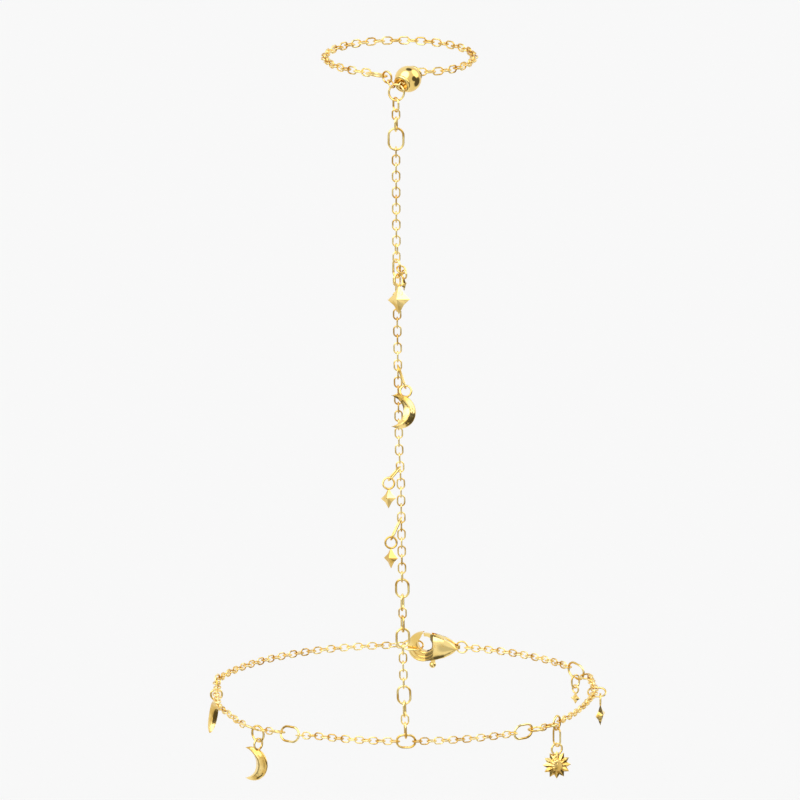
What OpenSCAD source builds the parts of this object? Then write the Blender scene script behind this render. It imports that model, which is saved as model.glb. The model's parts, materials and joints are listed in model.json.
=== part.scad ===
// Hand chain bracelet: a wrist loop of fine trace chain with a lobster clasp, a finger loop
// with a slider ball, and a strand of chain along the back of the hand that joins them.
// Origin at the centre of the wrist loop, +Z along the hand towards the finger,
// -Y to the back of the hand, where the strand runs, +X to the right as seen from there.

/* [Loops and strand] */
// Radius of the wrist loop, to the middle of its chain
wrist_radius = 27.9; // [26.5:0.1:30]
// Radius of the finger loop, to the middle of its chain
finger_radius = 10.57; // [9.8:0.01:11.6]
// Height of the finger loop above the wrist loop
finger_height = 97.5; // [92:0.5:104]
// Space kept between two pieces of metal that hang in each other
clearance = 0.11; // [0.1:0.01:0.13]

/* [Fine chain of the wrist] */
// Outer length of a fine link
fine_length = 1.47; // [1.42:0.01:1.6]
// Outer width of a fine link
fine_width = 1.08; // [1.0:0.01:1.2]
// Wire of a fine link
fine_wire = 0.14; // [0.12:0.005:0.16]

/* [Hand chain of strand and finger] */
// Outer length of a hand chain link
hand_length = 1.7; // [1.6:0.01:1.8]
// Outer width of a hand chain link
hand_width = 1.18; // [1.1:0.01:1.3]
// Wire of a hand chain link
hand_wire = 0.17; // [0.14:0.005:0.19]

/* [Rings] */
// Outer length of the large oval rings
oval_length = 3.45; // [3.2:0.05:3.8]
// Outer width of the large oval rings
oval_width = 2.4; // [2.2:0.05:2.7]
// Outer length of the extender rings along the strand
extender_length = 2.95; // [2.7:0.05:3.2]
// Outer width of the extender rings
extender_width = 2.1; // [1.9:0.05:2.4]
// Outer diameter of the drop ring under the ball
drop_diameter = 2.6; // [2.4:0.05:2.8]
// Outer diameter of the round rings that a charm hangs in
junction_diameter = 2.3; // [2.1:0.05:2.5]
// Outer length of the side rings that join a large ring to the chain
side_length = 2.56; // [2.4:0.02:2.8]
// Outer width of the side rings
side_width = 1.8; // [1.6:0.05:2.1]
// Outer diameter of the small ring beside the ball
small_diameter = 1.9; // [1.8:0.05:2.0]
// Outer diameter of the ring in the clasp's tail
tail_ring_diameter = 1.9; // [1.8:0.05:2.1]
// Wire of the large rings
ring_wire = 0.31; // [0.26:0.01:0.34]
// Wire of the side rings and of the small ring
side_wire = 0.27; // [0.22:0.01:0.3]

/* [Charm rings] */
// Outer length of a charm's jump ring
jump_length = 2.8; // [2.7:0.05:3.2]
// Outer width of a charm's jump ring
jump_width = 1.9; // [1.8:0.05:2.2]
// Wire of a charm's jump ring
jump_wire = 0.25; // [0.2:0.01:0.27]
// Outer diameter of the eye that is soldered on a charm
eye_diameter = 1.9; // [1.8:0.05:2.1]
// Wire of a charm's eye
eye_wire = 0.3; // [0.25:0.01:0.32]

/* [Charms] */
// Height of the largest star
star_height = 4.2; // [3.6:0.1:4.8]
// Outer radius of a crescent
moon_radius = 2.45; // [2.2:0.05:2.7]
// Depth of a crescent at its middle
moon_depth = 1.25; // [1.0:0.05:1.4]
// Diameter of the sun over its rays
sun_diameter = 4.1; // [3.6:0.1:4.6]
// Depth of the sun over its dome
sun_depth = 1.3; // [1.0:0.05:1.5]
// Number of the sun's rays
sun_rays = 12; // [10:1:14]

/* [Slider ball] */
// Diameter of the slider ball
ball_diameter = 3.8; // [3.5:0.02:4.0]
// Diameter of the hole through the ball
ball_bore = 1.75; // [1.65:0.05:1.9]
// Outer diameter of the collar round the hole
ball_collar = 2.6; // [2.45:0.05:2.7]

/* [Clasp] */
// Diameter of the clasp's opening
clasp_bore = 2.2; // [2.0:0.05:2.3]
// Outer diameter of the clasp's claw
claw_diameter = 4.4; // [4.3:0.05:4.6]
// Depth of the claw at its nose
claw_depth = 0.9; // [0.8:0.05:1.0]
// Depth of the clasp's shoulder
shoulder_depth = 2.1; // [1.9:0.05:2.2]
// Depth of the lever
lever_depth = 0.7; // [0.6:0.05:0.8]
// Diameter of the lever's pin
pin_diameter = 0.5; // [0.4:0.05:0.6]
// Clearance between the lever and the body, and round the pin
lever_clearance = 0.08; // [0.06:0.01:0.1]

/* [Hidden] */
smooth = 48;
gold = "gold";
X = 0;
Y = 1;
Z = 2;
UP = [0, 0, 1];
DOWN = [0, 0, -1];
SIDEWAYS = [1, 0, 0];
INWARDS = [0, 1, 0];

// Every link and ring is an oval of round wire: length, width, wire
FINE = [fine_length, fine_width, fine_wire];
HAND = [hand_length, hand_width, hand_wire];
OVAL = [oval_length, oval_width, ring_wire];
EXTENDER = [extender_length, extender_width, ring_wire];
DROP = [drop_diameter, drop_diameter, ring_wire];
JUNCTION = [junction_diameter, junction_diameter, ring_wire];
SIDE = [side_length, side_width, side_wire];
SHORT_SIDE = [side_length * 0.885, side_width, side_wire];
SMALL = [small_diameter, small_diameter, side_wire];
JUMP = [jump_length, jump_width, jump_wire];
LONG_JUMP = [jump_length * 1.1, jump_width, jump_wire];
LONGEST_JUMP = [jump_length * 1.33, jump_width, jump_wire];
SHORT_JUMP = [jump_length * 0.75, jump_width * 0.9, jump_wire];
ROUND_JUMP = [jump_width * 0.82, jump_width * 0.82, jump_wire];
TAIL = [tail_ring_diameter, tail_ring_diameter, 0.24];
EYE = [eye_diameter, eye_diameter, eye_wire];
SMALL_EYE = [eye_diameter * 0.75, eye_diameter * 0.75, eye_wire * 0.85];
BAIL = [eye_diameter * 1.05, eye_diameter * 0.8, eye_wire];
LENGTH = 0;
WIDTH = 1;
WIRE = 2;

function unit(v) = v / norm(v);
function hold(size) = size[LENGTH] / 2 - size[WIRE];
function reach(a, b) = hold(a) + hold(b) - clearance;

// A path is three tables, of x, y and z against the distance run along it
function distances(points) =
    [for (i = 0, s = 0; i < len(points);
        s = s + norm(points[min(i + 1, len(points) - 1)] - points[i]), i = i + 1) s];
function make_path(points) =
    let (s = distances(points))
    [for (axis = [X : Z]) [for (i = [0 : len(points) - 1]) [s[i], points[i][axis]]]];
function at(path, s) = [for (axis = [X : Z]) lookup(s, path[axis])];
function path_end(path) = path[X][len(path[X]) - 1][0];
function heading(path, s) = unit(at(path, s + 0.4) - at(path, s - 0.4));

// A seat is a place and three unit directions: along, across and through
function seat(origin, along, up, roll = 0) =
    let (u = unit(up - (up * along) * along), v = cross(along, u))
    let (across = cos(roll) * u + sin(roll) * v)
    [origin, along, across, cross(along, across)];
function on_path(path, s, up, roll = 0) = seat(at(path, s), heading(path, s), up, roll);
function turned(v, yaw) = [v[X] * cos(yaw) - v[Y] * sin(yaw), v[X] * sin(yaw) + v[Y] * cos(yaw), v[Z]];

module place(seat)
    multmatrix([for (row = [0 : 2]) [seat[1][row], seat[2][row], seat[3][row], seat[0][row]]]) children();

// The wrist loop: share of the radius added to it, and share of the radius that it hangs low
WRIST_BULGE = [
    [-184, 0], [-127, 0], [-112, 0.004], [-104, 0.002], [-97, -0.024], [-92, -0.025], [-84, -0.028],
    [-73, 0], [-60, 0.002], [-50, 0.01], [-42, 0], [0, 0], [48, 0], [57, -0.03], [70, -0.05],
    [80, -0.052], [91, -0.032], [103, -0.02], [109, 0.006], [113, 0.024], [116.5, 0.033],
    [124, 0.002], [129, 0], [184, 0]];
WRIST_DROP = [
    [-184, 0], [-66, 0], [-57, 0.022], [-49, 0.024], [-46, 0.02], [-41, 0.012], [-34, 0.012], [-28, 0],
    [0, 0], [101, 0], [106, 0.006], [112, 0.02], [116.5, 0.028], [124, 0.002], [129, 0], [184, 0]];
function wrist_point(angle) =
    let (r = wrist_radius * (1 + lookup(angle, WRIST_BULGE)))
    [r * sin(angle), -r * cos(angle), -wrist_radius * lookup(angle, WRIST_DROP)];
wrist_angles = [for (a = [-184 : 1 : 184]) a];
wrist_points = [for (a = wrist_angles) wrist_point(a)];
wrist_distances = distances(wrist_points);
wrist = make_path(wrist_points);
function wrist_s(angle) =
    lookup(angle, [for (i = [0 : len(wrist_angles) - 1]) [wrist_angles[i], wrist_distances[i]]]);
wrist_length = wrist_s(180) - wrist_s(-180);

// The finger loop's middle, above the front of the wrist loop
finger_centre = [-0.93, -wrist_radius + finger_radius, finger_height];
// The ball's middle and the way its hole faces
ball_radius = ball_diameter / 2;
ball_centre = finger_centre + [1.21, -finger_radius - 0.7, -0.55];
bore_way = unit([-0.52, -0.82, -0.24]);
collar_wire = (ball_collar - ball_bore) / 2 + 0.1;
collar_reach = ball_radius * 0.86;
mouth_reach = collar_reach + collar_wire / 2;
// The drop ring hangs in front of the mouth, square to the hole
drop_top = ball_centre + bore_way * (mouth_reach + clearance + ring_wire / 2);
drop_lean = unit([-0.45, 0, -0.89]);
drop_turn = unit(cross(bore_way, drop_lean));
drop_hold = (drop_diameter - ring_wire) / 2;
drop_centre = drop_top + drop_lean * drop_hold;
drop_seat = [drop_centre, drop_lean, drop_turn, cross(drop_lean, drop_turn)];
// The point of a round ring's wire that is nearest to another place
function rim_point(seat, radius, place) =
    let (v = place - seat[0]) seat[0] + radius * unit(v - (v * seat[3]) * seat[3]);
// The small ring lies left of the ball
small_centre = finger_centre + [-1.75, -finger_radius - 1.5, -0.08];
FINGER_BULGE = [[26, -0.05], [34, -0.02], [44, 0], [334, 0]];
function finger_point(angle) =
    finger_centre + finger_radius * (1 + lookup(angle, FINGER_BULGE)) * [sin(angle), -cos(angle), 0];
back_mouth = ball_centre - bore_way * (ball_radius + 0.1);
finger_points = concat(
    [drop_top, ball_centre, back_mouth, back_mouth + [0.35, 0.4, 0.04], back_mouth + [0.95, 0.55, 0.06]],
    [for (a = [26 : 2 : 334]) finger_point(a)],
    [small_centre]);
finger = make_path(finger_points);

// The strand: share of the height, and millimetres to the side
STRAND_SWAY = [
    [0, -0.02], [0.06, -0.25], [0.12, -0.42], [0.24, -0.53], [0.3, -0.62], [0.41, -0.74], [0.46, -1.0],
    [0.62, -1.21], [0.76, -1.36], [0.9, -1.42]];
strand_foot = wrist_point(0);
strand_top = rim_point(drop_seat, drop_hold, drop_centre + DOWN);
function strand_point(share) =
    let (y = strand_foot[Y] * (1 - share) + strand_top[Y] * share)
    [lookup(share, STRAND_SWAY), y, strand_top[Z] * share];
strand_shares = [for (share = [0.96 : -0.02 : -0.02]) share];
strand_points = concat([strand_top], [for (share = strand_shares) strand_point(share)]);
strand = make_path(strand_points);
function strand_s(share) =
    let (s = distances(strand_points), shares = concat([1], strand_shares))
    lookup(-share, [for (i = [0 : len(shares) - 1]) [-shares[i], s[i]]]);

// A run of links fills the path between two rings that hold it. Each link is turned by a
// quarter from the last, so the count is made odd or even to suit the rings at both ends,
// and what a ring is turned by beyond quarters is lost over the nearest links.
EASE = 4;
function quarters(roll) = round(roll / 90);
function run_count(least, roll_a, roll_b) = least + (least + 1 + quarters(roll_a) + quarters(roll_b)) % 2;
function run(path, link, from, to, hold_a, hold_b, roll_a, roll_b, up) =
    let (span = to - from, h = hold(link))
    let (least = max(1, ceil((span - hold_a - hold_b + clearance) / (2 * h - clearance) - 0.001)))
    let (n = run_count(least, roll_a, roll_b))
    let (gap = (hold_a + hold_b + 2 * n * h - span) / (n + 1))
    let (ease_a = roll_a - 90 * quarters(roll_a), ease_b = roll_b - 90 * quarters(roll_b))
    [for (i = [1 : n])
        let (s = from + hold_a - h + i * (2 * h - gap))
        let (ease = ease_a * max(0, 1 - i / EASE) + ease_b * max(0, 1 - (n + 1 - i) / EASE))
        [on_path(path, s, up, 90 * (i + quarters(roll_a)) + ease), link]];
function run_span(n, link, hold_a, hold_b) = hold_a + hold_b + 2 * n * hold(link) - (n + 1) * clearance;

module oval(size) {
    middle = (size[WIDTH] - size[WIRE]) / 2;
    straight = (size[LENGTH] - size[WIDTH]) / 2;
    if (straight < 0.02)
        rotate_extrude($fn = smooth)
            translate([middle, 0])
                circle(d = size[WIRE], $fn = smooth);
    else {
        for (end = [-1, 1])
            translate([end * straight, 0, 0])
                rotate([0, 0, -90 * end])
                    rotate_extrude(angle = 180, $fn = smooth)
                        translate([middle, 0])
                            circle(d = size[WIRE], $fn = smooth);
        for (side = [-1, 1])
            translate([-straight, side * middle, 0])
                rotate([0, 90, 0])
                    cylinder(d = size[WIRE], h = 2 * straight, $fn = smooth);
    }
}

module links(runs)
    color(gold)
        for (link = runs)
            place(link[0])
                oval(link[1]);

// Rings along the wrist loop: name, distance, size, roll, millimetres that it hangs low, yaw
low_drop = 0.6;
low_hold = 0.62;
LOW = [2 * low_hold + 2 * ring_wire, drop_diameter, ring_wire];
CATCH = [extender_length * 1.08, oval_width, side_wire];
hole_s = wrist_s(174.1);
tail_ring_s = wrist_s(163.2);
catch_s = hole_s + clasp_bore / 2 - 0.46 - clearance - side_wire / 2 + (CATCH[LENGTH] - side_wire) / 2;
centre_s = wrist_s(0);
right_oval_s = wrist_s(36.8);
right_side_a_s = right_oval_s + reach(OVAL, SIDE);
right_link_s = right_side_a_s + reach(SIDE, FINE);
right_side_b_s = right_link_s + reach(FINE, SIDE);
sun_junction_s = right_side_b_s + reach(SIDE, JUNCTION);
back_oval_s = wrist_s(120.5);
back_side_s = back_oval_s - reach(OVAL, SIDE);
left_oval_s = wrist_s(-36.4);
left_side_s = left_oval_s - reach(OVAL, SIDE);
left_link_s = left_side_s - reach(SIDE, FINE);
left_low_link_s = left_link_s - reach(FINE, FINE);
left_junction_s = left_low_link_s - reach(FINE, LOW);
left_long_s = left_junction_s - reach(LOW, OVAL);
far_junction_s = wrist_s(-99.5);
far_link_s = far_junction_s - reach(FINE, JUNCTION);
far_side_s = far_link_s - reach(SIDE, FINE);
NAME = 0;
PLACE = 1;
SIZE = 2;
ROLL = 3;
LOWERED = 4;
YAW = 5;
WRIST_RINGS = [
    ["centre_ring", centre_s, EXTENDER, 0, 0, 0],
    ["oval_ring_right", right_oval_s, OVAL, 8, 0, 0],
    ["side_ring_right_front", right_side_a_s, SIDE, 92, 0, 0],
    ["side_ring_right_back", right_side_b_s, SIDE, 80, 0, 0],
    ["sun_junction_ring", sun_junction_s, JUNCTION, 0, 0, 0],
    ["side_ring_back", back_side_s, SIDE, 80, 0, 0],
    ["oval_ring_back", back_oval_s, OVAL, 0, 0, 0],
    ["tail_ring", tail_ring_s, TAIL, 0, 0, 0],
    ["catch_ring", catch_s, CATCH, 64, 0, 0],
    ["side_ring_far", far_side_s, SIDE, 10, 0, 0],
    ["far_junction_ring", far_junction_s, JUNCTION, 0, 0, 0],
    ["long_ring_left", left_long_s, OVAL, 66, 0, 0],
    ["moon_junction_ring", left_junction_s, DROP, 0, low_drop, 0],
    ["side_ring_left", left_side_s, SIDE, 80, 0, 0],
    ["oval_ring_left", left_oval_s, OVAL, -14, 0, 0]];

function fine_run(from, to, size_a, size_b, roll_a, roll_b) =
    run(wrist, FINE, from, to, hold(size_a), hold(size_b), roll_a, roll_b, UP);
function fine_link(s, roll) = [[on_path(wrist, s, UP, roll), FINE]];
right_back_run = fine_run(sun_junction_s, back_side_s, JUNCTION, SIDE, 0, 80);
wrist_right_runs = concat(
    fine_run(centre_s, right_oval_s, EXTENDER, OVAL, 0, 8),
    fine_link(right_link_s, 5),
    right_back_run,
    fine_run(back_oval_s, tail_ring_s, OVAL, TAIL, 0, 0));
wrist_left_runs = concat(
    fine_run(catch_s - wrist_length, far_side_s, CATCH, SIDE, 64, 10),
    fine_link(far_link_s, 94),
    fine_run(far_junction_s, left_long_s, JUNCTION, OVAL, 0, 66),
    fine_link(left_link_s, -5),
    fine_link(left_low_link_s, 90),
    fine_run(left_oval_s, centre_s, OVAL, EXTENDER, -14, 0));
module wrist_chain_right() links(wrist_right_runs);
module wrist_chain_left() links(wrist_left_runs);

// Rings down the strand: name, distance from the drop ring's wire, size, roll, low, yaw
centre_hold = (extender_width - ring_wire) / 2;
strand_side_a_s = hold(SHORT_SIDE) - clearance - ring_wire / 2;
strand_link_a_s = strand_side_a_s + reach(SHORT_SIDE, HAND);
strand_side_b_s = strand_link_a_s + reach(HAND, SHORT_SIDE);
strand_oval_s = strand_side_b_s + reach(SHORT_SIDE, OVAL);
star_ring_s = strand_s(0.739);
strand_end_s = strand_s(0);
low_side_b_s = strand_end_s - centre_hold + ring_wire / 2 - hold(SIDE) + clearance;
low_link_s = low_side_b_s - reach(SIDE, HAND);
low_side_a_s = low_link_s - reach(SIDE, HAND);
extender_c_s = low_side_a_s - reach(SIDE, EXTENDER);
extender_b_s = extender_c_s - run_span(5, HAND, hold(EXTENDER), hold(EXTENDER));
mid_side_b_s = extender_b_s - reach(SIDE, EXTENDER);
mid_link_s = mid_side_b_s - reach(SIDE, HAND);
mid_side_a_s = mid_link_s - reach(SIDE, HAND);
extender_a_s = mid_side_a_s - reach(SIDE, EXTENDER);
STRAND_RINGS = [
    ["side_ring_top", strand_side_a_s, SHORT_SIDE, 62, 0, 0],
    ["side_ring_top_low", strand_side_b_s, SHORT_SIDE, 100, 0, 0],
    ["oval_ring_strand", strand_oval_s, OVAL, 0, 0, 0],
    ["star_junction_ring", star_ring_s, EXTENDER, 58, 0, 0],
    ["extender_ring_upper", extender_a_s, EXTENDER, 8, 0, 0],
    ["side_ring_middle", mid_side_a_s, SIDE, 100, 0, 0],
    ["side_ring_middle_low", mid_side_b_s, SIDE, 78, 0, 0],
    ["extender_ring_middle", extender_b_s, EXTENDER, -8, 0, 0],
    ["extender_ring_lower", extender_c_s, EXTENDER, 5, 0, 0],
    ["side_ring_low", low_side_a_s, SIDE, 98, 0, 0],
    ["side_ring_foot", low_side_b_s, SIDE, 84, 0, 0]];
function hand_run(from, to, size_a, size_b, roll_a, roll_b) =
    run(strand, HAND, from, to, hold(size_a), hold(size_b), roll_a, roll_b, SIDEWAYS);
function hand_link(s, roll) = [[on_path(strand, s, SIDEWAYS, roll), HAND]];
long_run = hand_run(star_ring_s, extender_a_s, EXTENDER, EXTENDER, 58, 8);
strand_runs = concat(
    hand_link(strand_link_a_s, 0),
    hand_run(strand_oval_s, star_ring_s, OVAL, EXTENDER, 0, 58),
    long_run,
    hand_link(mid_link_s, 5),
    hand_run(extender_b_s, extender_c_s, EXTENDER, EXTENDER, -8, 5),
    hand_link(low_link_s, 12));
module strand_chain() links(strand_runs);

// The finger chain starts at the drop ring, runs through the ball and round the finger to
// an oval ring and the small ring, and one more link closes it to the drop ring
small_ring_s = path_end(finger);
finger_oval_s = small_ring_s - reach(SMALL, OVAL);
FINGER_RINGS = [
    ["oval_ring_finger", finger_oval_s, OVAL, 82, 0, 0],
    ["small_ring_finger", small_ring_s, SMALL, 0, 0, 0]];
start_up = unit(UP - (UP * bore_way) * bore_way);
start_roll = atan2(drop_turn * cross(-bore_way, start_up), drop_turn * start_up);
small_seat = on_path(finger, small_ring_s, UP);
closing_from = rim_point(drop_seat, drop_hold, small_centre);
closing_to = rim_point(small_seat, (small_diameter - side_wire) / 2, drop_centre);
closing_seat = seat((closing_from + closing_to) / 2, unit(closing_to - closing_from), turned(SIDEWAYS, 41));
finger_runs = concat(
    run(finger, HAND, 0, finger_oval_s, -ring_wire / 2, hold(OVAL), start_roll, 82, UP),
    [[closing_seat, [hand_length * 0.87, hand_width * 0.8, hand_wire]]]);
module finger_chain() links(finger_runs);
module drop_ring()
    color(gold)
        place(drop_seat)
            oval(DROP);

function ring_seat(path, ring, up) =
    let (middle = at(path, ring[PLACE]) + ring[LOWERED] * DOWN)
    seat(middle, turned(heading(path, ring[PLACE]), ring[YAW]), up, ring[ROLL]);
module ring_on(path, ring, up)
    color(gold)
        place(ring_seat(path, ring, up))
            oval(ring[SIZE]);

// Slider ball: a sphere with a collar round each end of its hole
module slider_ball()
    color(gold)
        place(seat(ball_centre, bore_way, UP))
            rotate([0, 90, 0])
                difference() {
                    union() {
                        sphere(d = ball_diameter, $fn = smooth);
                        for (end = [-1, 1])
                            translate([0, 0, end * collar_reach])
                                rotate_extrude($fn = smooth)
                                    translate([(ball_collar - collar_wire) / 2, 0])
                                        circle(d = collar_wire, $fn = smooth);
                    }
                    cylinder(d = ball_bore, h = 2 * ball_diameter, center = true, $fn = smooth);
                }

// Charms hang from the middle of a soldered eye: x down, y to their right, z to the front

// A four-pointed star, ridged to its tips, with a peak on both faces
STAR_SIDE = 0.86;
STAR_WAIST = 0.54;
STAR_PEAK = 0.16;
module star_body(height, eye) {
    arm = height / 2;
    peak = height * STAR_PEAK;
    shares = [1, STAR_WAIST, STAR_SIDE, STAR_WAIST];
    rim = [for (i = [0 : 7]) let (r = arm * shares[i % 4]) [r * cos(45 * i), r * sin(45 * i), 0]];
    translate([eye[LENGTH] / 2 - eye[WIRE] * 0.6 + arm * 0.94, 0, 0])
        polyhedron(
            points = concat(rim, [[0, 0, peak], [0, 0, -peak]]),
            faces = concat(
                [for (i = [0 : 7]) [i, 8, (i + 1) % 8]],
                [for (i = [0 : 7]) [i, (i + 1) % 8, 9]]));
}

// A crescent with a ridge round both faces, between its outer arc and an inner arc set off
// to the left
MOON_SPAN = 115;
MOON_STEPS = 12;
MOON_LEAN = 18;
moon_shift = moon_radius * 0.66;
moon_inner = moon_radius * 0.935;
function moon_edge(a) = -moon_shift * cos(a) + sqrt(pow(moon_inner, 2) - pow(moon_shift * sin(a), 2));
function moon_section(a) =
    let (inner = moon_edge(a), wide = moon_radius - inner)
    let (deep = moon_depth / 2 * pow(wide / (moon_radius - moon_edge(0)), 0.75))
    [[inner, 0], [inner + 0.36 * wide, deep], [inner + 0.8 * wide, 0.72 * deep],
     [moon_radius, 0], [inner + 0.8 * wide, -0.72 * deep], [inner + 0.36 * wide, -deep]];
module moon_body(eye) {
    angles = [for (i = [1 : MOON_STEPS - 1]) MOON_SPAN * (2 * i / MOON_STEPS - 1)];
    n = 6;
    rings = [for (a = angles) for (p = moon_section(a)) [-p[0] * sin(a), p[0] * cos(a), p[1]]];
    tips = [for (a = [-MOON_SPAN, MOON_SPAN]) moon_radius * [-sin(a), cos(a), 0]];
    last = (len(angles) - 1) * n;
    middle = moon_radius + eye[LENGTH] / 2 - 0.25;
    translate([middle * cos(MOON_LEAN), -middle * sin(MOON_LEAN), 0])
        polyhedron(
            points = concat(rings, tips),
            faces = concat(
                [for (k = [0 : n - 1]) [len(rings), k, (k + 1) % n]],
                [for (i = [0 : len(angles) - 2]) for (k = [0 : n - 1])
                    [i * n + k, (i + 1) * n + (k + 1) % n, i * n + (k + 1) % n]],
                [for (i = [0 : len(angles) - 2]) for (k = [0 : n - 1])
                    [i * n + k, (i + 1) * n + k, (i + 1) * n + (k + 1) % n]],
                [for (k = [0 : n - 1]) [len(rings) + 1, last + (k + 1) % n, last + k]]));
}

// A sun: ridged rays round a dome, the same on both faces
SUN_VALLEY = 0.62;
SUN_CROWN = 0.45;
SUN_DOME = 0.26;
module sun_body(eye) {
    outer = sun_diameter / 2;
    n = 2 * sun_rays;
    step = 360 / n;
    function around(i, r, h) = [outer * r * cos(i * step), outer * r * sin(i * step), sun_depth * h];
    rim = [for (i = [0 : n - 1]) around(i, i % 2 == 0 ? 1 : SUN_VALLEY, 0)];
    crown = [for (i = [0 : n - 1]) around(i, SUN_CROWN, i % 2 == 0 ? 0.34 : 0.22)];
    under = [for (i = [0 : n - 1]) around(i, SUN_CROWN, i % 2 == 0 ? -0.34 : -0.22)];
    dome = [for (i = [0 : n - 1]) around(i, SUN_DOME, 0.45)];
    below = [for (i = [0 : n - 1]) around(i, SUN_DOME, -0.45)];
    translate([eye[LENGTH] / 2 - eye[WIRE] * 0.5 + outer * 0.74, 0, 0])
        polyhedron(
            points = concat(rim, crown, under, dome, below, [around(0, 0, 0.5), around(0, 0, -0.5)]),
            faces = [for (i = [0 : n - 1]) let (j = (i + 1) % n) each [
                [i, n + i, j], [j, n + i, n + j], [i, j, 2 * n + i], [j, 2 * n + j, 2 * n + i],
                [n + i, 3 * n + i, n + j], [n + j, 3 * n + i, 3 * n + j],
                [2 * n + i, 2 * n + j, 4 * n + i], [2 * n + j, 4 * n + j, 4 * n + i],
                [3 * n + i, 5 * n, 3 * n + j], [4 * n + i, 4 * n + j, 5 * n + 1]]]);
}
// Places that charms hang from: links that lie across a way, and the one nearest to a value
function hosts(runs, side) = [for (link = runs) if (abs(link[0][2] * side) > 0.7) link[0][0]];
function nearest(places, axis, value) =
    let (gaps = [for (p = places) abs(p[axis] - value)])
    [for (i = [0 : len(places) - 1]) if (gaps[i] == min(gaps)) places[i]][0];
// The seat of a ring of the wrist loop, the middle of its lowest wire, and the middle of the
// wire of a jump ring that hangs in it
function wrist_ring(name) =
    ring_seat(wrist, [for (ring = WRIST_RINGS) if (ring[NAME] == name) ring][0], UP);
function low_wire(name, width) = let (s = wrist_ring(name)) s[0] - s[2] * (width - ring_wire) / 2;
function hung_in(name, width) =
    let (s = wrist_ring(name)) s[0] - s[2] * (width / 2 - ring_wire - clearance - jump_wire / 2);
// A point of the star ring's wire, by the angle round its lower end
star_ring = on_path(strand, star_ring_s, SIDEWAYS, 58);
function star_ring_wire(angle) =
    let (r = (extender_width - ring_wire) / 2, straight = (extender_length - extender_width) / 2)
    star_ring[0] + star_ring[1] * (straight + r * cos(angle)) + star_ring[2] * r * sin(angle);
second_hook = star_ring[0] - star_ring[1] * 0.45
    + star_ring[2] * (extender_width / 2 - ring_wire - clearance - jump_wire / 2);
six_host = nearest(hosts(right_back_run, UP), Y, 3);
six_slope = [0, -cos(35), -sin(35)];

// Charms on a jump ring: name, kind, middle of the ring's top wire, the way that it hangs, the
// way that it lies, its size, yaw of the charm, share of the charm's size, eye, side of the eye,
// the way that the charm hangs
HANGING = [
    ["moon_strand", "moon", nearest(hosts(long_run, SIDEWAYS), Z, 54.7),
        unit([0.32, -0.24, -0.91]), INWARDS, LONGEST_JUMP, 20, 1, EYE, SIDEWAYS, unit([0, -0.42, -0.91])],
    ["star_second", "star", second_hook,
        unit([0.62, -0.45, -0.64]), star_ring[3], ROUND_JUMP, 60, 0.45, SMALL_EYE, star_ring[2], DOWN],
    ["star_third", "star", nearest(hosts(long_run, SIDEWAYS), Z, 41.4),
        unit([-0.64, -0.3, -0.71]), INWARDS, JUMP, -30, 0.69, EYE, SIDEWAYS, unit([0, -0.32, -0.95])],
    ["star_fourth", "star", nearest(hosts(long_run, SIDEWAYS), Z, 32.4),
        unit([-0.42, -0.18, -0.89]), INWARDS, LONGEST_JUMP, -40, 0.72, EYE, SIDEWAYS, unit([0, -0.2, -0.98])],
    ["star_fifth", "star", hung_in("oval_ring_back", oval_width),
        DOWN, wrist_ring("oval_ring_back")[3], SHORT_JUMP, -20, 0.4, SMALL_EYE,
        wrist_ring("oval_ring_back")[1], DOWN],
    ["sun", "sun", hung_in("sun_junction_ring", junction_diameter),
        DOWN, turned(SIDEWAYS, -55), LONG_JUMP, 8, 1, EYE, turned(SIDEWAYS, 25), DOWN]];
// Charms whose eye hooks a wire: name, kind, middle of the wire, its diameter, the way that
// the charm hangs, its yaw, share of its size, eye, side of the eye
HOOKED = [
    ["star_first", "star", star_ring_wire(40), ring_wire,
        unit([0, -0.3, -0.95]), -30, 1, BAIL, turned(SIDEWAYS, 24)],
    ["moon_front", "moon", low_wire("moon_junction_ring", drop_diameter), ring_wire,
        DOWN, -30, 1, EYE, wrist_ring("moon_junction_ring")[3]],
    ["moon_left", "moon", low_wire("far_junction_ring", junction_diameter), ring_wire,
        unit([-0.15, 0, -0.99]), 85, 1, EYE, wrist_ring("far_junction_ring")[3]],
    ["star_sixth", "star", six_host + [0.85, 0, 0] + six_slope * (jump_width - jump_wire), jump_wire,
        DOWN, 60, 0.76, EYE, INWARDS]];
function under(wire_middle, wire, eye, down) = wire_middle + down * (hold(eye) - clearance - wire / 2);
// name, kind, seat of the charm, share of size, eye, seat of the eye
function charm_of(c, middle, down, yaw, share, eye, side) =
    [c[0], c[1], seat(middle, down, turned(SIDEWAYS, yaw)), share, eye, seat(middle, down, side)];
CHARMS = concat(
    [for (c = HANGING)
        let (lowest = c[2] + c[3] * (c[5][LENGTH] - jump_wire))
        charm_of(c, under(lowest, jump_wire, c[8], c[10]), c[10], c[6], c[7], c[8], c[9])],
    [for (c = HOOKED)
        charm_of(c, under(c[2], c[3], c[7], c[4]), c[4], c[5], c[6], c[7], c[8])]);
// name, seat, size
CHARM_RINGS = concat(
    [for (c = HANGING) let (middle = c[2] + c[3] * (c[5][LENGTH] - jump_wire) / 2)
        [str(c[0], "_ring"), seat(middle, c[3], c[4]), c[5]]],
    [["star_sixth_ring",
        seat(six_host + [0.35, 0, 0] + six_slope * (jump_width - jump_wire) / 2, SIDEWAYS, six_slope),
        JUMP]]);
module charm(c)
    color(gold) {
        place(c[5])
            oval(c[4]);
        place(c[2]) {
            if (c[1] == "star")
                star_body(star_height * c[3], c[4]);
            if (c[1] == "moon")
                moon_body(c[4]);
            if (c[1] == "sun")
                sun_body(c[4]);
        }
    }
module charm_ring(c)
    color(gold)
        place(c[1])
            oval(c[2]);

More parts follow.
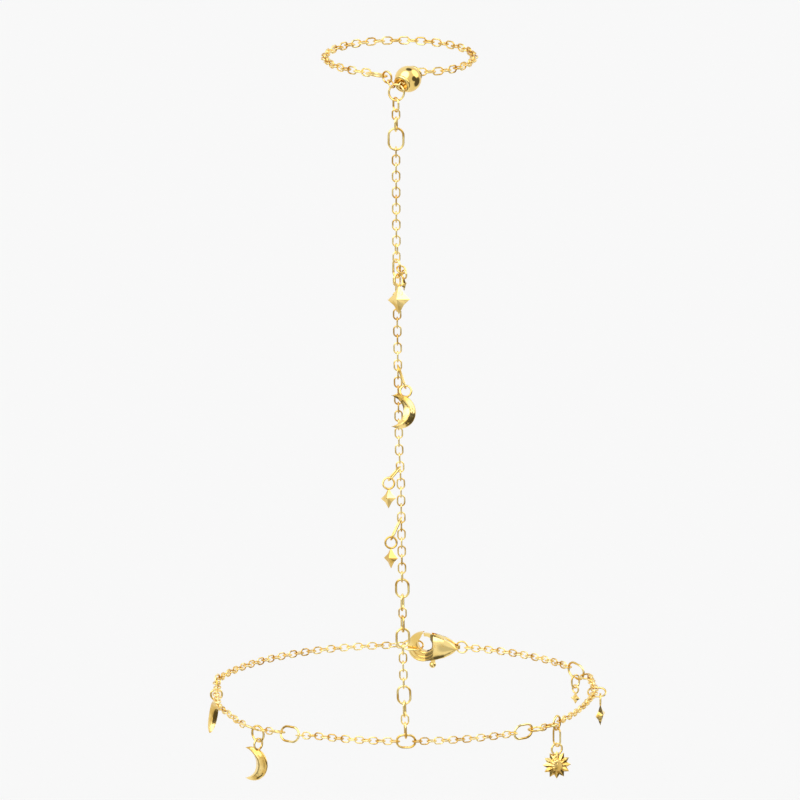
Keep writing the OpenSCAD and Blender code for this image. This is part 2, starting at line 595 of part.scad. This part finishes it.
// Clasp, in its own frame: x from the opening to the tail, y up, z to the front
axis_y = -0.45;
lug_bore = 0.66;
lug_y = -0.3;
claw_radius = claw_diameter / 2;
claw_x = -0.43;
clasp_middle = at(wrist, hole_s) + [0, 0, 0.3];
clasp_tail = at(wrist, tail_ring_s);
clasp_way = unit([clasp_tail[X] - clasp_middle[X], clasp_tail[Y] - clasp_middle[Y], 0]);
clasp_seat = [clasp_middle, clasp_way, UP, cross(clasp_way, UP)];
tail_x = norm([clasp_tail[X] - clasp_middle[X], clasp_tail[Y] - clasp_middle[Y]])
    - (tail_ring_diameter - TAIL[WIRE]) / 2;
pivot = [1.6, 0.12];
pivot_boss = pin_diameter + 0.5;
gate_inner = clasp_bore / 2 + 0.02;
gate_outer = gate_inner + 0.42;
gate_from = 10;
gate_to = 101;
nub_y = -3.1;
// Half height of the body's outline against x, as shares of the claw's radius
BODY_HEIGHT = [[0.1, 0.965], [0.8, 0.93], [1.5, 0.86], [2.3, 0.73], [3.1, 0.5], [3.7, 0.27]];
module clasp_outline() {
    translate([claw_x, 0])
        circle(r = claw_radius, $fn = smooth);
    polygon(concat(
        [[claw_x, 0]],
        [for (p = BODY_HEIGHT) [p[0] * tail_x / 4.3, p[1] * claw_radius]],
        [[tail_x, 0.3], [tail_x, 0]]));
}
module clasp_solid()
    intersection() {
        translate([0, axis_y, 0])
            rotate([0, 90, 0])
                rotate_extrude($fn = smooth)
                    intersection() {
                        rotate(90)
                            mirror([0, 1])
                                clasp_outline();
                        translate([0, -9])
                            square([9, 18]);
                    }
        rotate([90, 0, 0])
            linear_extrude(height = 3 * claw_diameter, center = true)
                polygon([
                    [-20, 0], [claw_x - claw_radius, -claw_depth / 2], [0, -claw_depth * 0.62],
                    [1.5, -shoulder_depth / 2], [tail_x, -0.4], [20, 0], [tail_x, 0.4],
                    [1.5, shoulder_depth / 2], [0, claw_depth * 0.62],
                    [claw_x - claw_radius, claw_depth / 2]]);
    }
module lever_room() {
    room = lever_depth + 2 * lever_clearance;
    gate_tip = [gate_outer * cos(gate_to), gate_outer * sin(gate_to)];
    sweep = norm(gate_tip - pivot) + lever_clearance;
    translate([pivot[X], pivot[Y], -room / 2])
        cylinder(r = pivot_boss / 2 + lever_clearance, h = room, $fn = smooth);
    translate([pivot[X], pivot[Y], -5])
        intersection() {
            cylinder(r = sweep, h = 10, $fn = smooth);
            translate([-10, 0, 0])
                cube([9.2, 10, 10]);
        }
    translate([pivot[X] - 1.4, pivot[Y] - 5, -room / 2])
        cube([2.3, 5, room]);
    translate([pivot[X] - 2, pivot[Y], -room / 2])
        cube([2, 4, room]);
}
module clasp_body()
    color(gold)
        place(clasp_seat)
            union() {
                difference() {
                    union() {
                        clasp_solid();
                        translate([tail_x, lug_y, 0])
                            rotate([90, 0, 0])
                                cylinder(d = lug_bore + 0.5, h = 0.5, center = true, $fn = smooth);
                    }
                    cylinder(d = clasp_bore, h = 10, center = true, $fn = smooth);
                    translate([tail_x, lug_y, 0])
                        rotate([90, 0, 0])
                            cylinder(d = lug_bore, h = 2, center = true, $fn = smooth);
                    lever_room();
                }
                translate([pivot[X], pivot[Y], 0])
                    cylinder(d = pin_diameter, h = shoulder_depth * 0.8, center = true, $fn = smooth);
            }
module clasp_lever()
    color(gold)
        place(clasp_seat)
            difference() {
                union() {
                    translate([0, 0, -lever_depth / 2]) {
                        linear_extrude(height = lever_depth)
                            intersection() {
                                difference() {
                                    circle(r = gate_outer, $fn = smooth);
                                    circle(r = gate_inner, $fn = smooth);
                                }
                                polygon([
                                    [0, 0], 3 * [cos(gate_from), sin(gate_from)], 3 * [cos(60), sin(60)],
                                    3 * [cos(gate_to), sin(gate_to)]]);
                            }
                        translate([pivot[X], pivot[Y], 0])
                            cylinder(d = pivot_boss, h = lever_depth, $fn = smooth);
                        linear_extrude(height = lever_depth)
                            polygon([
                                pivot + [-0.42, 0], pivot + [0.38, 0],
                                [pivot[X] - 0.32, nub_y + 0.1], [pivot[X] - 0.86, nub_y + 0.1]]);
                    }
                    translate([pivot[X] - 0.6, nub_y, 0])
                        sphere(d = 1, $fn = smooth);
                }
                translate([pivot[X], pivot[Y], -5])
                    cylinder(d = pin_diameter + 2 * lever_clearance, h = 10, $fn = smooth);
            }

finger_chain();
strand_chain();
wrist_chain_right();
wrist_chain_left();
drop_ring();
slider_ball();
clasp_body();
clasp_lever();
for (ring = FINGER_RINGS) ring_on(finger, ring, UP);
for (ring = STRAND_RINGS) ring_on(strand, ring, SIDEWAYS);
for (ring = WRIST_RINGS) ring_on(wrist, ring, UP);
for (c = CHARMS) charm(c);
for (c = CHARM_RINGS) charm_ring(c);
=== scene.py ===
# %% [markdown]
# # Hand chain bracelet
# A fine gold chain round the wrist, a strand up the back of the hand, and a loop for one finger.
# The measured solids come from model.glb. This script adds polished gold, smooth moons, a smooth
# sun, beads and domed cheeks on the clasp, and a pale studio. Sizes are in metres where nothing
# else is said; x is to the right, z is up, and the front looks along minus y.

# %% Setup
import json

import bpy
import numpy as np
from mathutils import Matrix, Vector

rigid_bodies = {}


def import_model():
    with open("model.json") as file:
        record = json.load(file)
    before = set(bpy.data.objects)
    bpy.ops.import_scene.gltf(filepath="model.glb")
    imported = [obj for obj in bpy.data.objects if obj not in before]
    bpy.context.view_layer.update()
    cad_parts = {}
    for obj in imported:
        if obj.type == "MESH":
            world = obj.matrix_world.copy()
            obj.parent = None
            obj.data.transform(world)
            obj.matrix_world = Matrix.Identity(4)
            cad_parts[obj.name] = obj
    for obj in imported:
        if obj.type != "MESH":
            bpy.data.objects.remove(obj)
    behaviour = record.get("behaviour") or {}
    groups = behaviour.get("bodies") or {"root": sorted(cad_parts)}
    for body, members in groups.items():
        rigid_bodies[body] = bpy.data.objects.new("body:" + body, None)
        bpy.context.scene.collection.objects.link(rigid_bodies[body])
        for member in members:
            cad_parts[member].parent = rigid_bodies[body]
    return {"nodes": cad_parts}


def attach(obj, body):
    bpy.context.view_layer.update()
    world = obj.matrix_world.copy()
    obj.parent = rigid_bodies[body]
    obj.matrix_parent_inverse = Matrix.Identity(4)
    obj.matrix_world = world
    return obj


for thing in list(bpy.data.objects):
    bpy.data.objects.remove(thing)
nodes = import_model()["nodes"]
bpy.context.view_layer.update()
print("CAD nodes:", len(nodes))

# %% [markdown]
# ## Shader sums
# A `Value` is one number in a material. The usual signs add maths nodes, so a pattern is written
# as a formula.


# %% Shader sums
class Value:
    """One number of a node tree. Plus, minus and times give new ones."""

    def __init__(self, tree, socket):
        self.tree, self.socket = tree, socket

    def sum(self, kind, *others, clamp=False):
        """The maths node of that kind, fed with this number and the others."""
        node = self.tree.nodes.new("ShaderNodeMath")
        node.operation, node.use_clamp = kind, clamp
        for place, value in enumerate((self, *others)):
            if isinstance(value, Value):
                self.tree.links.new(value.socket, node.inputs[place])
            else:
                node.inputs[place].default_value = value
        return Value(self.tree, node.outputs[0])

    def __add__(self, other):
        return self.sum("ADD", other)

    def __sub__(self, other):
        return self.sum("SUBTRACT", other)

    def __mul__(self, other):
        return self.sum("MULTIPLY", other)

    def ramp(self, low, high):
        """0 at low, 1 at high and smooth between."""
        part = (self - low).sum("DIVIDE", high - low, clamp=True)
        return part * part * (part * -2.0 + 3.0)


def noise(tree, vector, scale, detail=2.0):
    """Soft noise from 0 to 1 over a vector, with that many lumps to a metre."""
    node = tree.nodes.new("ShaderNodeTexNoise")
    node.inputs["Scale"].default_value = scale
    node.inputs["Detail"].default_value = detail
    tree.links.new(vector, node.inputs["Vector"])
    return Value(tree, node.outputs[0])


def mixed(tree, share, first, second):
    """The colour that share of the way from the first to the second.

    On the mix node, the colours go in at places 6 and 7 and come out at place 2."""
    node = tree.nodes.new("ShaderNodeMix")
    node.data_type = "RGBA"
    tree.links.new(share.socket, node.inputs[0])
    for place, colour in ((6, first), (7, second)):
        node.inputs[place].default_value = (*colour, 1.0)
    return node.outputs[2]


# %% [markdown]
# ## Gold
# Polished plating over cast brass. Its colour drifts a little from one place to the next, its
# polish is uneven, and it has small ripples. The cast charms are rippled more than the wire.


# %% Gold
SMEARS = 1500.0  # smears of uneven polish to a metre
SMEAR_ROUGHNESS = 0.1
FINE_RIPPLES = 4.0  # fine ripples for each coarse one
FINE_SHARE = 0.15  # their height as a share of the coarse ones'


def gold(name, pale, deep, polish, ripple, lumps, patches):
    """Gold between two colours, with that many patches to a metre.

    Roughness is polish plus noise, and the bump is noise of the ripple's height."""
    material = bpy.data.materials.new(name)
    material.use_nodes = True
    tree = material.node_tree
    shader = tree.nodes["Principled BSDF"]
    place = tree.nodes.new("ShaderNodeTexCoord").outputs["Object"]
    drift = noise(tree, place, patches, 2.0)
    smear = noise(tree, place, SMEARS, 4.0)
    tree.links.new(mixed(tree, drift.ramp(0.4, 0.64), pale, deep), shader.inputs["Base Color"])
    rough = smear.ramp(0.4, 0.75) * SMEAR_ROUGHNESS + polish
    tree.links.new(rough.socket, shader.inputs["Roughness"])
    shader.inputs["Metallic"].default_value = 1.0
    bump = tree.nodes.new("ShaderNodeBump")
    bump.inputs["Strength"].default_value = 1.0
    bump.inputs["Distance"].default_value = ripple
    fine = noise(tree, place, lumps * FINE_RIPPLES, 2.0)
    height = noise(tree, place, lumps, 2.0) + fine * FINE_SHARE
    tree.links.new(height.socket, bump.inputs["Height"])
    tree.links.new(bump.outputs["Normal"], shader.inputs["Normal"])
    material.diffuse_color = (*pale, 1.0)
    material.metallic = 1.0
    return material


wire_gold = gold(
    "wire gold", pale=(1.0, 0.79, 0.33), deep=(0.66, 0.4, 0.08),
    polish=0.1, ripple=0.00008, lumps=900.0, patches=620.0)
cast_gold = gold(
    "cast gold", pale=(0.97, 0.73, 0.28), deep=(0.7, 0.45, 0.11),
    polish=0.13, ripple=0.00014, lumps=700.0, patches=420.0)
mirror_gold = gold(
    "mirror gold", pale=(0.95, 0.73, 0.29), deep=(0.82, 0.57, 0.17),
    polish=0.06, ripple=0.00003, lumps=400.0, patches=300.0)
CAST = ("star", "moon", "sun")
MIRROR = ("slider_ball", "clasp_body", "clasp_lever")
for name, node in nodes.items():
    cast = name.startswith(CAST) and "ring" not in name
    node.data.materials.clear()
    node.data.materials.append(cast_gold if cast else mirror_gold if name in MIRROR else wire_gold)
print("materials:", len(bpy.data.materials))

# %% [markdown]
# ## Chains
# The links look stouter in the picture than their bare wire, so the chains and most rings are
# shown with a skin, thinner than half of the usual gap to a neighbour. The rings that hang
# closest to another piece have none.

# %% Chains
CHAIN_SKIN = 0.00003
RING_SKIN = 0.00001
CLOSE = ("catch_ring", "side_ring_back", "oval_ring_back", "side_ring_far", "drop_ring")
for name, node in nodes.items():
    if ("chain" in name or "ring" in name) and name not in CLOSE:
        skin = node.modifiers.new("skin", "DISPLACE")
        skin.mid_level = 0.0
        skin.strength = CHAIN_SKIN if "chain" in name else RING_SKIN
print("pieces with a skin:", sum(len(node.modifiers) for node in nodes.values()))

# %% [markdown]
# ## Charm frames
# Each charm hangs along its own x, with y to the side and z to the front. The way it hangs and
# its yaw are as in the part's source, and its middle is read from the CAD node.


# %% Charm frames
CHARM_SKIN = 0.00003


def unit(v):
    """v at length 1."""
    return np.asarray(v, float) / np.linalg.norm(v)


def eased(t):
    """t from 0 to 1, with a level start and end: 3 t^2 - 2 t^3."""
    return t * t * (3.0 - 2.0 * t)


def charm_frame(name, down, yaw, arm, side_arm=None):
    """(middle, axes) of a charm that reaches arm past its middle: along, side and front.

    A charm that isn't even from side to side gives how far it reaches to its side."""
    along = unit(down)
    side = np.array([np.cos(np.radians(yaw)), np.sin(np.radians(yaw)), 0.0])
    side = unit(side - (side @ along) * along)
    axes = np.array([along, side, np.cross(along, side)])
    mesh = nodes[name].data
    points = np.empty(3 * len(mesh.vertices))
    mesh.vertices.foreach_get("co", points)
    own = points.reshape(-1, 3) @ axes.T
    low, high = own.min(0), own.max(0)
    middle = (low + high) / 2
    middle[0] = high[0] - arm
    if side_arm is not None:
        middle[1] = high[1] - side_arm
    return middle @ axes, axes


def surface(name, grids, body, finish=cast_gold):
    """One mesh of several closed grids. Each is (rows, columns, 3), and its columns join up."""
    points, faces, start = [], [], 0
    for grid in grids:
        rows, columns = grid.shape[:2]
        points.append(grid.reshape(-1, 3))
        first = np.arange(rows * columns).reshape(rows, columns) + start
        after = np.roll(first, -1, axis=1)
        faces.append(np.stack([first[:-1], first[1:], after[1:], after[:-1]], -1).reshape(-1, 4))
        start += rows * columns
    mesh = bpy.data.meshes.new(name)
    mesh.from_pydata(np.concatenate(points), [], np.concatenate(faces).tolist())
    mesh.polygons.foreach_set("use_smooth", np.ones(len(mesh.polygons), bool))
    mesh.materials.append(finish)
    piece = bpy.data.objects.new(name, mesh)
    bpy.context.scene.collection.objects.link(piece)
    weld = piece.modifiers.new("poles", "WELD")
    weld.merge_threshold = 1e-7
    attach(piece, body)
    return piece


# %% [markdown]
# ## Moons
# The CAD crescent is faceted. A smooth one is fitted over it: outer arc at one radius, inner arc
# set off to the side, and between them a rounded ridge nearer to the inner edge.

# %% Moons
MOON_RADIUS = 0.00245
MOON_DEPTH = 0.00125
MOON_TURN = 117.5  # degrees from the middle to a tip
MOON_INNER = 0.935 * MOON_RADIUS
MOON_SHIFT = 0.66 * MOON_RADIUS
MOON_RIDGE = 0.4  # where the ridge runs, as a share of the width


def moon_grid(skin):
    """A crescent skin outside the CAD one. Rows go from tip to tip, columns round the section.

    Angle a runs along the arc. The inner edge is at -shift cos a + root(inner^2 - (shift sin a)^2),
    and the section is a closed loop from there to the outer radius, highest at the ridge."""
    a = np.radians(np.linspace(-MOON_TURN, MOON_TURN, 141))[:, None]
    t = np.linspace(0.0, 2.0 * np.pi, 48, endpoint=False)[None, :]
    edge = -MOON_SHIFT * np.cos(a) + np.sqrt(MOON_INNER**2 - (MOON_SHIFT * np.sin(a)) ** 2)
    wide = np.maximum(MOON_RADIUS - edge, 0.0)
    deep = MOON_DEPTH / 2 * (wide / (MOON_RADIUS - MOON_INNER + MOON_SHIFT)) ** 0.75
    share = (1.0 - np.cos(t)) / 2.0
    past = np.clip((share - MOON_RIDGE) / 0.4, 0.0, 1.0)
    lift = np.minimum(share / MOON_RIDGE, 1.0) * (1.0 - 0.36 * past)
    round_edge = np.sqrt(np.clip((1.0 - share) / 0.2, 0.0, 1.0))
    height = np.sign(np.sin(t)) * (lift**0.85 * round_edge * (deep + skin))
    grow = skin * (2.0 * share - 1.0)
    radius = edge + share * wide + grow
    return np.stack(np.broadcast_arrays(-radius * np.sin(a), radius * np.cos(a), height), -1)


MOONS = {
    "moon_strand": ((0.0, -0.42, -0.91), 20.0),
    "moon_front": ((0.0, 0.0, -1.0), -30.0),
    "moon_left": ((-0.15, 0.0, -0.99), 85.0)}
for name, (down, yaw) in MOONS.items():
    middle, axes = charm_frame(name, down, yaw, MOON_RADIUS, MOON_RADIUS)
    surface(name + "_polished", [middle + moon_grid(CHARM_SKIN) @ axes], "bracelet")
print("moons:", len(MOONS))

# %% [markdown]
# ## Sun
# Twelve ridged rays round a dome. The dome is smooth at the right and has a rosette of petals at
# the left, as the casting has.

# %% Sun
SUN_RADIUS = 0.00205
SUN_DEPTH = 0.0013
SUN_RAYS = 12
SUN_VALLEY = 0.72  # radius of the rim between two rays, as a share of the sun's
DOME_RADIUS = 0.42  # in the same shares
ROSETTE_LOW = 0.1  # how far the rosette's middle lies to the side of the dome's


def sun_grid(face, skin):
    """Front (face 1) or back (-1) of the sun, from the middle to the rim.

    The rim goes from 1 at a ray's tip to its radius in a valley, nearly straight between. The
    height falls from the dome, over a groove, to the rim, with a ridge along each ray."""
    turn = np.linspace(0.0, 2.0 * np.pi, 288, endpoint=False)[None, :]
    rho = np.linspace(0.0, 1.0, 64)[:, None]
    beat = np.abs((turn * SUN_RAYS / (2.0 * np.pi) + 0.5) % 1.0 - 0.5) * 2.0
    reach = 1.0 / (1.0 + (1.0 / SUN_VALLEY - 1.0) * beat)
    inside = np.clip(rho / DOME_RADIUS, 0.0, 1.0)
    blend = np.clip((rho - DOME_RADIUS) / 0.2, 0.0, 1.0)
    radius = rho * ((1.0 - blend) * 0.92 + blend * reach)
    dome = 0.51 * (1.0 - 0.12 * inside**2)
    ray = (0.36 - 0.14 * beat) * (1.0 - np.clip((rho - 0.5) / 0.5, 0.0, 1.0))
    fall = eased(np.clip((rho - 0.36) / 0.12, 0.0, 1.0))
    height = (1.0 - fall) * dome + fall * ray
    x, y = radius * np.cos(turn), radius * np.sin(turn)
    low = y + ROSETTE_LOW
    band = np.exp(-((np.hypot(x, low) - 0.22) / 0.09) ** 2)
    petals = 0.035 * np.cos(8.0 * np.arctan2(low, x)) * band
    height = height + petals * np.clip((0.05 - y) / 0.1, 0.0, 1.0) * (face > 0)
    height = np.maximum(height * SUN_DEPTH + skin * (rho < 1.0), 0.0)
    grid = np.stack([x * SUN_RADIUS, y * SUN_RADIUS, face * height], -1)
    return grid if face > 0 else grid[::-1]


middle, axes = charm_frame("sun", (0.0, 0.0, -1.0), 8.0, SUN_RADIUS)
both = np.concatenate([sun_grid(1, CHARM_SKIN), sun_grid(-1, CHARM_SKIN)[1:]])
surface("sun_polished", [middle + both @ axes], "bracelet")
print("sun rays:", SUN_RAYS)

# %% [markdown]
# ## Clasp ridges
# Raised beads run round the claw's opening and under it, on both faces. The clasp's own x goes
# from the opening to the tail, y is up and z comes to the front.

# %% Clasp ridges
MM = 0.001
WRIST_RADIUS = 27.9 * MM
CLASP_ANGLES = (174.1, 163.2)  # of the opening's middle and the tail, in degrees round the wrist
OPENING_HEIGHT = 0.3 * MM
opening, tail = (
    WRIST_RADIUS * np.array([np.sin(a), -np.cos(a), 0.0]) for a in np.radians(CLASP_ANGLES))
way = unit(tail - opening)
clasp_axes = np.array([way, (0.0, 0.0, 1.0), np.cross(way, (0.0, 0.0, 1.0))])
opening[2] = OPENING_HEIGHT
FACE_AT = np.array([-2.63, 0.0, 1.5, 5.3]) * MM
FACE_HEIGHT = np.array([0.45, 0.558, 1.05, 0.4]) * MM


def bead(middle, radius, start, end, thick, face):
    """A tapering bead on a face of the claw, along an arc between two angles in degrees.

    Its sizes are in millimetres. Its middle line lies on the face, and its radius is thick
    times root(sin) from end to end."""
    u = np.linspace(0.0, 1.0, 90)[:, None]
    v = np.linspace(0.0, 2.0 * np.pi, 16, endpoint=False)[None, :]
    a = np.radians(start + (end - start) * u)
    own = thick * np.sqrt(np.clip(np.sin(np.pi * u), 0.0, 1.0)) * MM
    r = radius * MM + own * np.cos(v)
    x = middle[0] * MM + r * np.cos(a)
    y = middle[1] * MM + r * np.sin(a)
    line = middle[0] * MM + radius * MM * np.cos(a)
    z = np.interp(line, FACE_AT, FACE_HEIGHT) + own * np.sin(v)
    grid = np.stack([x, y, face * z], -1)
    return grid if face < 0 else grid[:, ::-1]


BEADS = [  # middle, radius, start, end, thick
    ((0.0, 0.0), 1.3, 165.0, 372.0, 0.16),
    ((-0.2, -0.25), 1.68, 178.0, 335.0, 0.13),
    ((-0.36, -0.42), 1.98, 190.0, 322.0, 0.1)]
beads = [opening + bead(*b, face) @ clasp_axes for b in BEADS for face in (1, -1)]
surface("clasp_ridges", beads, "bracelet", mirror_gold)
print("beads:", len(beads))

# %% [markdown]
# ## Clasp cheeks
# The shoulder of the real clasp is rounded, where the CAD one meets in an edge. A domed cheek
# lies over it on both faces. Its sizes are in millimetres along the clasp's own directions.

# %% Clasp cheeks
CHEEK_START, CHEEK_END = 1.13, 4.85
CHEEK_HEIGHT = -0.45  # of its middle line
OUTLINE_AT = np.array([0.1, 0.8, 1.5, 2.3, 3.1, 3.7, 4.3]) * 5.3 / 4.3
OUTLINE_HALF = 2.2 * np.array([0.965, 0.93, 0.86, 0.73, 0.5, 0.27, 0.13])
SHOULDER = 0.26  # how softly the two slopes meet
CHEEK_LIFT = 0.18  # over the slopes
CHEEK_SWELL = 0.3


def cheek(face):
    """A domed cheek over the shoulder of the clasp, from the opening's side to the tail.

    Its height over the middle plane is the soft least of the two slopes of the face, which
    rounds the shoulder, plus a swell of (1 - v^2) across. Its edges sink into the clasp."""
    u = np.linspace(0.0, 1.0, 160)[:, None]
    v = np.linspace(-1.0, 1.0, 60)[None, :]
    x = CHEEK_START + (CHEEK_END - CHEEK_START) * u
    span = np.interp(x, OUTLINE_AT, OUTLINE_HALF)
    left, right = 0.558 + 0.328 * x, 1.05 - 0.171 * (x - 1.5)
    soft = -SHOULDER * np.log(np.exp(-left / SHOULDER) + np.exp(-right / SHOULDER))
    half = np.sqrt(np.clip(span**2 - soft**2, 0.0, None)) * 0.98
    rise = eased(np.clip(np.sin(np.pi * u) / np.sin(0.04 * np.pi), 0.0, 1.0))
    y = CHEEK_HEIGHT + half * v
    swell = (CHEEK_LIFT + CHEEK_SWELL * (1.0 - v**2)) * rise
    z = soft + swell - 0.1 * (1.0 - rise) - 0.1 * np.abs(v) ** 8
    top = np.stack(np.broadcast_arrays(x, y, z), -1)
    low = top * (1.0, 1.0, 0.0) + np.array([0.0, 0.0, 0.3])
    loop = np.concatenate([top, low[:, ::-1]], 1)
    first, last = (
        np.broadcast_to(row.mean(1, keepdims=True), row.shape) for row in (loop[:1], loop[-1:]))
    closed = np.concatenate([first, loop, last])
    grid = closed * np.array([MM, MM, MM * face])
    return grid if face < 0 else grid[:, ::-1]


cheeks = [opening + cheek(face) @ clasp_axes for face in (1, -1)]
surface("clasp_cheeks", cheeks, "bracelet", mirror_gold)
print("cheeks:", len(cheeks))

# %% [markdown]
# ## Studio
# A pale floor and a white surround. Only the gold sees the softboxes and the dark flags, which
# give it bright creams and brown edges.

# %% Studio
world = bpy.data.worlds.new("studio")
bpy.context.scene.world = world
world.use_nodes = True
tree = world.node_tree
split = tree.nodes.new("ShaderNodeSeparateXYZ")
tree.links.new(tree.nodes.new("ShaderNodeTexCoord").outputs["Generated"], split.inputs[0])
x, y, z = (Value(tree, split.outputs[place]) for place in range(3))


def lamp(direction, near, far):
    """1 where the view is close to a direction, 0 beyond, by the cosine of the angle."""
    d = unit(direction)
    return (x * float(d[0]) + y * float(d[1]) + z * float(d[2])).ramp(far, near)


def lamps(rows):
    """The sum of several lamps, each times its strength."""
    first, *others = (lamp(direction, near, far) * power for direction, near, far, power in rows)
    total = first
    for other in others:
        total = total + other
    return total


SOFTBOXES = [  # direction, near, far, strength
    ((-0.5, -0.6, 0.8), 0.9, 0.78, 2.0),
    ((0.8, 0.1, 0.6), 0.93, 0.85, 1.2)]
FLAGS = [
    ((-0.86, -0.45, -0.24), 0.96, 0.86, 0.85),
    ((0.8, -0.55, 0.2), 0.965, 0.91, 1.0),
    ((0.95, 0.0, -0.3), 0.92, 0.82, 1.0),
    ((0.1, 0.3, 0.95), 0.975, 0.93, 1.0),
    ((-0.2, -0.4, -0.9), 0.96, 0.88, 1.0),
    ((0.03, -0.97, -0.15), 0.98, 0.9, 0.4)]
SURROUND = 0.98
FLAG_DARKNESS = 0.88
SEEN_WHITE = 0.94  # of the surround where the camera sees it, and of the floor
light = lamps(SOFTBOXES) + SURROUND
light = light * (lamps(FLAGS).sum("MINIMUM", 1.0) * -FLAG_DARKNESS + 1.0)
path = tree.nodes.new("ShaderNodeLightPath")
seen = Value(tree, path.outputs["Is Camera Ray"])
shine = Value(tree, path.outputs["Is Glossy Ray"])
plain = seen * (SEEN_WHITE - 1.0) + 1.0
strength = light * shine + plain * (shine * -1.0 + 1.0)
tree.links.new(strength.socket, tree.nodes["Background"].inputs["Strength"])
tree.nodes["Background"].inputs["Color"].default_value = (1.0, 1.0, 1.0, 1.0)

FLOOR_HEIGHT = -0.045
floor_mesh = bpy.data.meshes.new("floor")
floor_mesh.from_pydata([(-6, -6, 0), (6, -6, 0), (6, 6, 0), (-6, 6, 0)], [], [(0, 1, 2, 3)])
floor = bpy.data.objects.new("floor", floor_mesh)
floor.location.z = FLOOR_HEIGHT
bpy.context.scene.collection.objects.link(floor)
paper = bpy.data.materials.new("paper")
paper.use_nodes = True
matt = paper.node_tree.nodes["Principled BSDF"].inputs
matt["Base Color"].default_value = (SEEN_WHITE, SEEN_WHITE, SEEN_WHITE, 1.0)
matt["Roughness"].default_value = 1.0
matt["Specular IOR Level"].default_value = 0.0
floor_mesh.materials.append(paper)
floor.visible_glossy = False
print("softboxes and flags:", len(SOFTBOXES), len(FLAGS))

# %% [markdown]
# ## Camera
# A long lens from the photograph's height. With a longer one, a view from another side would put
# the bracelet beyond its far limit, which is a hundred times the bracelet's radius.

# %% Camera
LENS = 1400.0
SENSOR = 36.0
FIELD = 0.1142857  # metres across the picture, at the target
ELEVATION = 13.75
TARGET = (-0.000857, 0.0, 0.04318)
camera_data = bpy.data.cameras.new("camera")
camera_data.lens = LENS
camera_data.sensor_width = SENSOR
camera_data.clip_end = 100.0
camera = bpy.data.objects.new("camera", camera_data)
bpy.context.scene.collection.objects.link(camera)
bpy.context.scene.camera = camera
tilt = np.radians(ELEVATION)
away = FIELD * LENS / SENSOR
camera.location = Vector(TARGET) + away * Vector((0.0, -np.cos(tilt), np.sin(tilt)))
camera.rotation_euler = (np.pi / 2 - tilt, 0.0, 0.0)
bpy.context.scene.view_settings.view_transform = "Standard"
print("camera is", round(away, 2), "m away")
